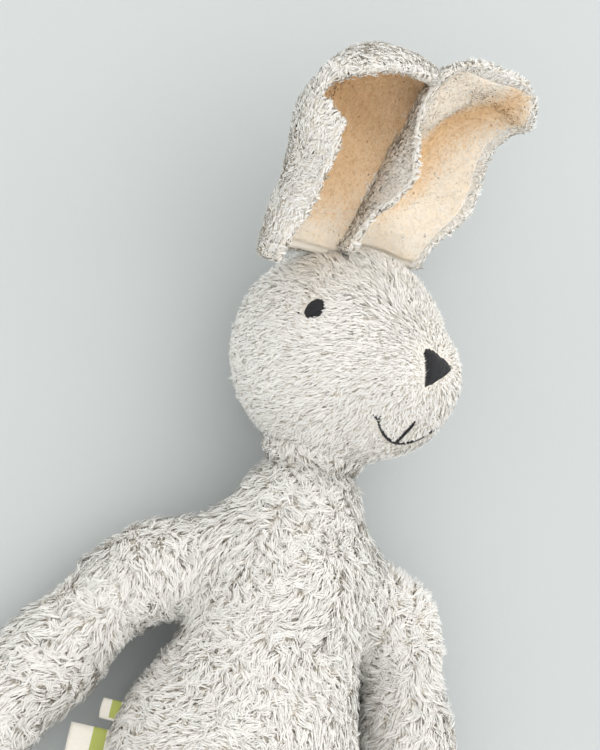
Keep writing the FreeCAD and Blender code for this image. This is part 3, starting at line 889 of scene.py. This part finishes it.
# for each place across the embroidery, in mm: where its stitch starts and where it ends
EYE_ROWS = (
    (-3.3, -2.0, 1.6), (-2.6, -3.6, 3.0), (-1.4, -4.6, 3.9), (0, -4.9, 4.2),
    (1.2, -4.5, 4.8), (2.4, -3.4, 4.6), (3.2, -1.6, 3.4),
)  # fmt: skip
NOSE_ROWS = (
    (-6.3, 2.4, 4.6), (-5.2, 0.2, 5.8), (-3.6, -3.0, 6.4), (-1.9, -6.2, 6.6), (0, -8.8, 6.2),
    (1.9, -6.2, 6.6), (3.6, -3.0, 6.4), (5.2, 0.2, 5.8), (6.3, 2.4, 4.6),
)  # fmt: skip
SMILE = (
    (-12.6, 6.0), (-10, 3.6), (-7, 1.5), (-4, 0.2), (-1.6, -0.4), (0, -0.5),
    (1.6, -0.4), (4, 0.2), (7, 1.5), (10, 3.6), (12.6, 6.0),
)  # fmt: skip
LIP_TOP = 12.5  # where the line down from the nose begins
LIP_END = -0.5  # where it meets the smile
FAR_OFF = 99.0  # mm, further than any place on the head


def nose_patch(form):
    return Patch(form, middle("nose") + 1.2 * MM * UP - 1.6 * MM * LEFT, UP + 0.7 * LEFT)


def mouth_patch(form):
    return Patch(form, middle("mouth") - 5.5 * MM * LEFT - 4 * MM * FORWARD + 2.5 * MM * UP, LEFT)


def rows_gap(rows, xy):
    """How far points of the working plane lie outside a satin patch, in mm; below 0 inside."""
    x, y = xy.T
    low, high = row_ends(rows, y)
    return np.max([low - x, x - high, rows[0][0] - y, y - rows[-1][0]], axis=0)


def line_gap(line, xy):
    """How far points of the working plane lie from a line, in mm."""
    line = np.asarray(line, float)
    gap = np.full(len(xy), FAR_OFF)
    for a, b in zip(line[:-1], line[1:]):
        t = np.clip((xy - a) @ (b - a) / max((b - a) @ (b - a), 1e-9), 0, 1)
        gap = np.minimum(gap, np.linalg.norm(xy - a - t[:, None] * (b - a), axis=1))
    return gap


def face_gap(form):
    """A function: how far places on the head are from the embroidery, in mm."""
    eyes = [eye_patch(form, side) for side in SIDES]
    nose, mouth = nose_patch(form), mouth_patch(form)
    lip = ((0, LIP_TOP), (0, LIP_END))

    def gap(p):
        near = np.full(len(p), FAR_OFF)
        marks = [(eye, lambda xy: rows_gap(EYE_ROWS, xy)) for eye in eyes]
        marks.append((nose, lambda xy: rows_gap(NOSE_ROWS, xy)))
        marks.append((mouth, lambda xy: np.minimum(line_gap(SMILE, xy), line_gap(lip, xy)) - 0.7))
        for patch, measure in marks:
            xy, out = patch.flat(p)
            near = np.where(out > -9, np.minimum(near, measure(xy)), near)
        return near

    return gap


class BUNNY_OT_head(bpy.types.Operator):
    """Sew the stuffed head, with its muzzle"""

    bl_idname = "bunny.head"
    bl_label = "Head"

    def execute(self, context):
        form = head_form()
        reach = np.array([60 * MM] * 3)
        points, quads = skin(form, SKULL - reach, SKULL + reach, shape().weave * 0.8)
        gap = face_gap(form)
        tip = middle("nose")

        def long(p):
            clear = np.clip(gap(p) / 6, 0, 1)
            muzzle = np.clip(((p - SKULL) @ FORWARD / MM - 24) / 26, 0, 1)
            return pile().head_long * (0.5 + 0.5 * clear) * (1 - 0.3 * muzzle)

        def comb(p, n):
            return unit(p - tip) - 0.35 * UP

        def cuts(c):
            side, front = (c - SKULL) @ LEFT, (c - SKULL) @ FORWARD
            return {
                "_face_right": (side < 0) & (front > 12 * MM),
                "_face_left": (side >= 0) & (front > 12 * MM),
                "_back_right": (side < 0) & (front <= 12 * MM),
                "_back_left": (side >= 0) & (front <= 12 * MM),
            }

        nodes = ["head_centre_gusset", "head_left_cover", "head_right_cover", "head_stuffing"]
        sewn(
            "head", "head", points, quads, nodes, 500, HEAD_PILE, long, comb,
            cuts=cuts, keep=lambda p: gap(p) > 0.1, more=1.5,
        )  # fmt: skip
        return {"FINISHED"}


class BUNNY_OT_face(bpy.types.Operator):
    """Embroider the eyes, the nose and the mouth"""

    bl_idname = "bunny.face"
    bl_label = "Face"

    def execute(self, context):
        form = head_form()
        for number, side in enumerate(SIDES):
            satin(
                f"eye_{side}_satin", eye_patch(form, side), EYE_ROWS, 0.5, 0.36, 1.5,
                "black", f"eye_{side}", 600 + number,
            )  # fmt: skip
        satin(
            "nose_satin", nose_patch(form), NOSE_ROWS, 0.55, 0.4, 1.6,
            "charcoal", "nose", 610,
        )  # fmt: skip
        patch = mouth_patch(form)
        lip = [(0.15, LIP_TOP), (0, 6), (-0.1, LIP_END)]
        forks = [
            (end, (end[0] + way * across, end[1] + rise))
            for way, end in ((-1, SMILE[0]), (1, SMILE[-1]))
            for across, rise in ((2.6, 0.6), (-0.6, 2.4))
        ]
        knot = [(-1.1, -0.9), (0.0, -0.3), (1.1, -0.9)]
        paths = []
        for line in (SMILE, lip, knot, *forks):
            line = np.asarray(line, float)
            at = np.concatenate([[0], np.cumsum(np.linalg.norm(np.diff(line, axis=0), axis=1))])
            fine = np.linspace(0, at[-1], max(6, int(at[-1] * 3)))
            xy = np.stack([np.interp(fine, at, line[:, 0]), np.interp(fine, at, line[:, 1])], axis=1)
            for ply in (0, math.pi):
                turn = fine * 2.6 + ply
                across = unit(np.gradient(xy, axis=0))[:, ::-1] * [-1, 1]
                rise = 0.55 + 0.3 * np.sin(turn) - 0.9 * (np.abs(2 * fine / at[-1] - 1) ** 14)
                paths.append(patch.place(xy + across * 0.3 * np.cos(turn)[:, None], rise))
        mouth = threads("mouth_thread", paths, 0.38 * MM, "black")
        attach(mouth, "head")
        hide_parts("mouth")
        return {"FINISHED"}


# ---- ears ----

# how each ear hangs, in mm and degrees: its length, how wide its near and far sides are and how far each
# rolls forward, how far its middle leans back, and how far its tip curls over and from which share of its
# length. near_blunt and blunt are where each side starts to close to the tip. The fold is so sharp, and
# ends at that share of the far side. aside and tilt move and turn the ear sideways, opens unrolls its rims
# towards the tip, and shade and even say how far and how evenly the shade painted into the lining's fold
# reaches
EARS = {
    "left": dict(
        long=93, near=46, far=44, near_roll=94, far_roll=70, lean=26, curl=20, start=0.2,
        near_blunt=0.5, blunt=0.66, fold=30, ends=0.6, aside=13, tilt=12, opens=0.35, shade=0.36, even=0.9,
    ),
    "right": dict(
        long=112, near=50, far=38, near_roll=118, far_roll=62, lean=22, curl=104, start=0.44,
        near_blunt=0.42, blunt=0.56, fold=20, ends=0.1, aside=8, tilt=12, opens=0.2, shade=1.5, even=0.6,
    ),
}  # fmt: skip


def smooth(t):
    t = np.clip(t, 0, 1)
    return t * t * (3 - 2 * t)


def ear_axes(side):
    """An ear's foot, and its directions across, along and into its hollow."""
    foot = pivot(f"ear_{side}_fold")
    across = unit(JOINTS[f"ear_{side}_fold"]["axis"])
    corners = np.array([v.co for v in frame["nodes"][f"ear_{side}_back"].data.vertices])
    tip = corners[np.linalg.norm(corners - foot, axis=1).argmax()] - foot
    along = unit(tip - (tip @ across) * across)
    return foot, across, along, np.cross(across, along)


def fold_line(side, t):
    """Where the ear's fold runs, as a share of its far side, along the ear."""
    return EARS[side]["ends"] * smooth((t - 0.1) / 0.65)


def ear_sheet(side, rows=80, columns=81):
    """The ear's inner face: a grid of points, their normals, and their shares across and along."""
    e = EARS[side]
    foot, across, along, hollow = ear_axes(side)
    t = np.linspace(0, 1, rows)[:, None]
    bend = np.radians((e["lean"] + e["curl"]) * smooth((t - e["start"]) / (1.04 - e["start"])) - e["lean"])
    step = e["long"] * MM / (rows - 1)
    y, z = np.cumsum(np.cos(bend)) * step, np.cumsum(np.sin(bend)) * step
    a = np.linspace(-1, 1, columns)[None]
    blunt = np.where(a < 0, e["near_blunt"], e["blunt"])
    closing = np.clip((t - blunt) / (1.002 - blunt), 0, 1) ** 2.1
    width = (0.68 + 0.32 * smooth(t / 0.55)) * np.sqrt(np.clip(1 - closing, 0.0004, 1))
    side_width = np.where(a < 0, e["near"], e["far"]) * MM
    s = a * width * side_width
    reach = np.where(t < blunt, width, 1) * side_width
    roll = np.radians(np.where(a < 0, e["near_roll"], e["far_roll"]))
    roll = roll * (0.8 + 0.2 * smooth(t / 0.4)) * (1 - e["opens"] * smooth((t - 0.35) / 0.4))
    fold = np.radians(e["fold"]) * (1 - smooth((t - 0.6) / 0.35))
    crease = fold_line(side, t) * width[:, -1:] * e["far"] * MM
    turn = fold * np.tanh((s - crease) / (4 * MM)) + np.sign(a) * (roll - fold) * np.abs(s / reach) ** 1.35
    c, d = (along_row(way(turn), s) for way in (np.cos, np.sin))
    c = c - e["aside"] * MM + math.sin(math.radians(e["tilt"])) * y[:, None]
    grid = foot + c[..., None] * across + (y[:, None] - d * np.sin(bend))[..., None] * along
    grid = grid + (z[:, None] + d * np.cos(bend))[..., None] * hollow
    ripple = waves(grid.reshape(-1, 3), 32 * MM, 7 if side == "left" else 8).reshape(grid.shape)
    grid = grid + ripple * 1.1 * MM
    normals = unit(np.cross(np.gradient(grid, axis=1), np.gradient(grid, axis=0)))
    return grid, normals, a[0], t[:, 0]


def along_row(rate, s):
    """The running sum of a rate along each row's s, from 0 where s is 0."""
    steps = (rate[:, 1:] + rate[:, :-1]) / 2 * np.diff(s, axis=1)
    total = np.concatenate([np.zeros((len(s), 1)), np.cumsum(steps, axis=1)], axis=1)
    return total - total[:, s.shape[1] // 2][:, None]


def shell(grid, normals, thick):
    """A closed leaf, the grid and a second face behind it: its points, quads and which aren't in front."""
    rows, columns = grid.shape[:2]
    number = np.arange(rows * columns).reshape(rows, columns)
    face = np.stack([number[:-1, :-1], number[:-1, 1:], number[1:, 1:], number[1:, :-1]], -1).reshape(-1, 4)
    behind = face[:, ::-1] + rows * columns
    border = np.concatenate([number[0, :], number[1:, -1], number[-1, -2::-1], number[-2:0:-1, 0]])
    after = np.roll(border, -1)
    rim = np.stack([border, border + rows * columns, after + rows * columns, after], -1)
    points = np.concatenate([grid.reshape(-1, 3), (grid - normals * thick[..., None]).reshape(-1, 3)])
    quads = np.concatenate([face, behind, rim])
    outside = np.repeat([False, True, True], [len(face), len(behind), len(rim)])
    return points, quads, outside


class BUNNY_OT_ears(bpy.types.Operator):
    """Sew the two ears: a plush back rolled round a smooth lining"""

    bl_idname = "bunny.ears"
    bl_label = "Ears"

    def execute(self, context):
        for number, side in enumerate(SIDES):
            seed = 700 + 40 * number
            grid, normals, a, t = ear_sheet(side)
            along, hollow = ear_axes(side)[2:]
            edge = np.maximum(np.abs(a)[None, :], 2 * (t[:, None] - 0.5))
            thick = (3.2 - 1.6 * smooth((edge - 0.7) / 0.3)) * MM
            points, quads, outside = shell(grid, normals, thick)
            around = point_normals(points, quads)
            back = thing(f"ear_{side}_plush_skin", points, quads, [material("backing")])
            rim = np.concatenate([edge.ravel(), edge.ravel()])
            hairy = outside | (rim[quads].min(1) > 0.86)
            fur = grow(
                f"ear_{side}_plush_pile", points, quads[hairy], around, EAR_PILE, pile().ear_long,
                towards(*(along + 0.25 * hollow)), seed,
            )  # fmt: skip
            under = undercoat(
                f"ear_{side}_plush_under", points, quads[hairy], around, pile().ear_long, seed + 10
            )
            inner = np.abs(a) < 0.93
            length = (t > 0.02) & (t < 0.955)
            leaf = (grid + normals * 0.9 * MM)[length][:, inner]
            facing = normals[length][:, inner]
            points, quads, outside = shell(leaf, facing, np.full(leaf.shape[:2], 0.8 * MM))
            lining = thing(f"ear_{side}_lining_velour", points, quads, [material("lining")])
            # painted shade for the lining, deepest where it lies in its fold: the velour and its nap take it
            deep = shade_of(side, a[inner], t[length])
            shade = lining.data.attributes.new("shade", "FLOAT", "POINT")
            shade.data.foreach_set("value", np.tile(deep.ravel(), 2).astype(np.float32))
            nap = grow(
                f"ear_{side}_lining_nap", points, quads[~outside], point_normals(points, quads), VELOUR,
                pile().velour_long, towards(*along), seed + 5, more=1.4, shade=np.tile(deep.ravel(), 2),
            )  # fmt: skip
            for piece in (back, fur, under, lining, nap):
                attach(piece, f"ear_{side}")
            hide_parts(f"ear_{side}_back")
            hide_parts(f"ear_{side}_lining")
        return {"FINISHED"}


def shade_of(side, a, t):
    """How deep each place of the lining lies in its fold, from 0 to 1: the share of painted shade it takes.
    """
    e = EARS[side]
    bottom = fold_line(side, t)[:, None] + 0.03 * np.sin(t * 9)[:, None]
    depth = np.clip(1 - np.abs(a[None] - bottom) / e["shade"], 0, 1) ** e["even"]
    return depth * (smooth((t - 0.02) / 0.3) * (1 - 0.5 * smooth((t - 0.8) / 0.2)))[:, None]


# ---- neck, labels and closing seam ----


class BUNNY_OT_neck(bpy.types.Operator):
    """Gather the plush round the neck and tie it"""

    bl_idname = "bunny.neck"
    bl_label = "Neck"

    def execute(self, context):
        low, high = box("neck_seam_thread")
        tie, tie_r = (low + high) / 2, (high[0] - low[0]) / 2
        fibre_r = (high[1] - low[1]) / 2
        rows, columns, pleats = 40, 192, 23
        t = np.linspace(0, 1, rows)[:, None]
        a = np.linspace(0, 2 * math.pi, columns, endpoint=False)[None]
        y = tie[1] + (-10 + 28 * t) * MM
        away = np.abs(y - tie[1]) / MM
        girth = tie_r - fibre_r * 2.4 + (7.5 * (1 - np.exp(-away / 5)) * MM)
        girth = girth + 0.9 * MM * np.cos(pleats * a + 0.8 * np.sin(3 * a)) * np.exp(-away / 7)
        # its top is domed inside the head, and shows only when the head is nodded back
        girth = girth * np.sqrt(1 - (np.clip(t - 0.6, 0, 1) / 0.43) ** 2)
        points = np.stack(
            [girth * np.cos(a), np.broadcast_to(y, girth.shape), tie[2] + girth * np.sin(a)], axis=-1
        ).reshape(-1, 3)
        quads, caps = ring_faces(rows, columns)
        gather = thing("neck_gather_skin", points, [quads, caps], [material("backing")])
        fur = grow(
            "neck_gather_pile", points, quads, point_normals(points, quads), BODY_PILE, 5 * MM,
            towards(0, -1, 0.3), 800, more=1.6,
        )  # fmt: skip
        turn = np.linspace(0, 2 * math.pi, 240)
        strands = []
        for ply in (0, math.pi):
            twist = turn * 34 + ply
            out, rise = tie_r + 0.5 * fibre_r * np.cos(twist), 0.5 * fibre_r * np.sin(twist)
            strands.append(np.stack([out * np.cos(turn), tie[1] + rise, tie[2] + out * np.sin(turn)], axis=1))
        thread = threads("neck_tie_thread", strands, fibre_r * 0.55, "tan_thread")
        for piece in (gather, fur, thread):
            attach(piece, "neck")
        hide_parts("neck_stuffing")
        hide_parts("neck_seam_thread")
        return {"FINISHED"}


def tape(name, node, seam, long, wide, height, sag, loop):
    """A label of woven tape sewn in at its inner end; a loop comes back under itself."""
    out = np.linspace(0, long, 26)
    lift = height + sag * np.sin(out / long * math.pi) - 1.5 * sag * (out / long) ** 2
    path = np.stack([seam[0] - out, lift], axis=1)
    if loop:
        bend = np.linspace(math.pi / 2, -math.pi / 2, 9)[1:-1]
        end = path[-1] - [0, 0.7 * MM]
        fold = end + np.stack([-0.7 * MM * np.cos(bend), 0.7 * MM * np.sin(bend)], axis=1)
        path = np.concatenate([path, fold, (path - [0, 1.4 * MM])[::-1]])
    across = np.linspace(-wide / 2, wide / 2, 9)
    along = unit(np.gradient(path, axis=0))
    lines = [np.stack([path[:, 0], np.full(len(path), seam[1] + v), path[:, 1]], axis=1) for v in across]
    grid = np.stack(lines, axis=1)
    cup = (across / wide * 2) ** 2 * 0.5 * MM
    normals = np.stack([-along[:, 1], np.zeros(len(path)), along[:, 0]], axis=1)
    normals = np.repeat(normals[:, None], len(across), axis=1)
    grid = grid + normals * cup[None, :, None]
    points, quads, _ = shell(grid, normals, np.full(grid.shape[:2], 0.3 * MM))
    piece = thing(name, points, quads, [material("tape")])
    u = np.linspace(0, 2 if loop else 1, len(path))
    u, v = np.meshgrid(np.where(u > 1, 2 - u, u), np.linspace(0, 1, len(across)), indexing="ij")
    uv = np.tile(np.stack([u.ravel(), v.ravel()], 1), (2, 1))
    layer = piece.data.uv_layers.new(name="OFBake")
    corners = np.empty(len(piece.data.loops), np.int32)
    piece.data.loops.foreach_get("vertex_index", corners)
    layer.data.foreach_set("uv", uv[corners].astype(np.float32).ravel())
    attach(piece, "torso")
    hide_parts(node)


class BUNNY_OT_labels(bpy.types.Operator):
    """Sew in the two plain labels, with green bars and no words"""

    bl_idname = "bunny.labels"
    bl_label = "Labels"

    def execute(self, context):
        for node, loop in (("ribbon_label", True), ("care_label", False)):
            low, high = box(node)
            seam = np.array([high[0] + 6 * MM, (low[1] + high[1]) / 2, high[2]])
            long = seam[0] - low[0]
            tape(f"{node}_tape", node, seam, long, high[1] - low[1], high[2], 1.5 * MM, loop)
        return {"FINISHED"}


class BUNNY_OT_closing_seam(bpy.types.Operator):
    """Give the slanting stitches of the side seam, closed by hand, their tan thread"""

    bl_idname = "bunny.closing_seam"
    bl_label = "Closing seam"

    def execute(self, context):
        stitches = frame["nodes"]["closing_seam_stitches"]
        stitches.data.materials.clear()
        stitches.data.materials.append(material("tan_thread"))
        return {"FINISHED"}


# ---- stage ----


FLOOR = 40.0  # metres from its middle to an edge, so that no view shows where it ends
TOWARD = (-0.274, -0.1045, 0.956)  # from the toy to the camera
RIGHT = (0.930, 0.2238, 0.291)  # the camera's right
AWAY = 0.7  # metres from what the camera aims at
VIEW_ANGLE = 24.2  # degrees, up and down
# each lamp's place, width in metres and power in watts
LAMPS = {"window": ((0.6, 0.9, 1.3), 1.8, 9), "fill": ((-1.2, -0.3, 1.2), 1.6, 2.5)}
SKY = ((1.0, 0.995, 0.98, 1), 1.03)  # the light all round: its colour and strength


class BUNNY_OT_stage(bpy.types.Operator):
    """Lay out the pale floor, the soft light and the camera"""

    bl_idname = "bunny.stage"
    bl_label = "Stage"

    def execute(self, context):
        scene = context.scene
        corners = np.array([[-1, -1, 0], [1, -1, 0], [1, 1, 0], [-1, 1, 0]]) * FLOOR
        floor = thing("floor", corners, np.array([[0, 1, 2, 3]]), [material("bedding")], smooth=False)
        toward, right = unit(TOWARD), unit(RIGHT)
        above = np.cross(toward, right)
        # the middle of the view, from the neck
        aim = np.array([0, 85, 38]) * MM - 3.2 * MM * right + 41.2 * MM * above
        data = bpy.data.cameras.new("camera")
        data.sensor_fit = "VERTICAL"
        data.angle_y = math.radians(VIEW_ANGLE)
        data.clip_start = 0.05
        camera = bpy.data.objects.new("camera", data)
        axes = Matrix([right, above, toward]).transposed().to_4x4()
        axes.translation = Vector(aim + toward * AWAY)
        camera.matrix_world = axes
        scene.collection.objects.link(camera)
        scene.camera = camera
        for name, (at, across, power) in LAMPS.items():
            light = bpy.data.lights.new(name, "AREA")
            light.size = across
            light.energy = power
            lamp = bpy.data.objects.new(name, light)
            turn = Vector(at).to_track_quat("Z", "Y").to_matrix().to_4x4()
            lamp.matrix_world = Matrix.Translation(at) @ turn
            scene.collection.objects.link(lamp)
        world = bpy.data.worlds.new("studio")
        world.use_nodes = True
        light = world.node_tree.nodes["Background"].inputs
        light["Color"].default_value, light["Strength"].default_value = SKY
        scene.world = world
        scene.view_settings.view_transform = "Standard"
        return {"FINISHED"}


# ---- the sidebar, and the making ----


class BUNNY_PT_panel(bpy.types.Panel):
    """Lists the bunny's pieces and their sizes and colours"""

    bl_label = "Plush Bunny"
    bl_idname = "BUNNY_PT_panel"
    bl_space_type = "VIEW_3D"
    bl_region_type = "UI"
    bl_category = "Bunny"

    def draw(self, context):
        for group in (shape(), pile(), colours()):
            section = self.layout.box()
            for name in group.__annotations__:
                section.prop(group, name)
        for step in STEPS:
            self.layout.operator(step.bl_idname)


STEPS = (
    BUNNY_OT_body,
    BUNNY_OT_arms,
    BUNNY_OT_legs,
    BUNNY_OT_tail,
    BUNNY_OT_head,
    BUNNY_OT_face,
    BUNNY_OT_ears,
    BUNNY_OT_neck,
    BUNNY_OT_labels,
    BUNNY_OT_closing_seam,
    BUNNY_OT_stage,
)
GROUPS = {"bunny_shape": BunnyShape, "bunny_pile": BunnyPile, "bunny_colours": BunnyColours}


def register():
    for kind in (*GROUPS.values(), *STEPS, BUNNY_PT_panel):
        bpy.utils.register_class(kind)
    for name, group in GROUPS.items():
        setattr(bpy.types.Scene, name, bpy.props.PointerProperty(type=group))


def unregister():
    for name in GROUPS:
        delattr(bpy.types.Scene, name)
    for kind in reversed((*GROUPS.values(), *STEPS, BUNNY_PT_panel)):
        bpy.utils.unregister_class(kind)


def main():
    register()
    for step in STEPS:
        group, name = step.bl_idname.split(".")
        getattr(getattr(bpy.ops, group), name)()


if __name__ == "__main__":
    main()
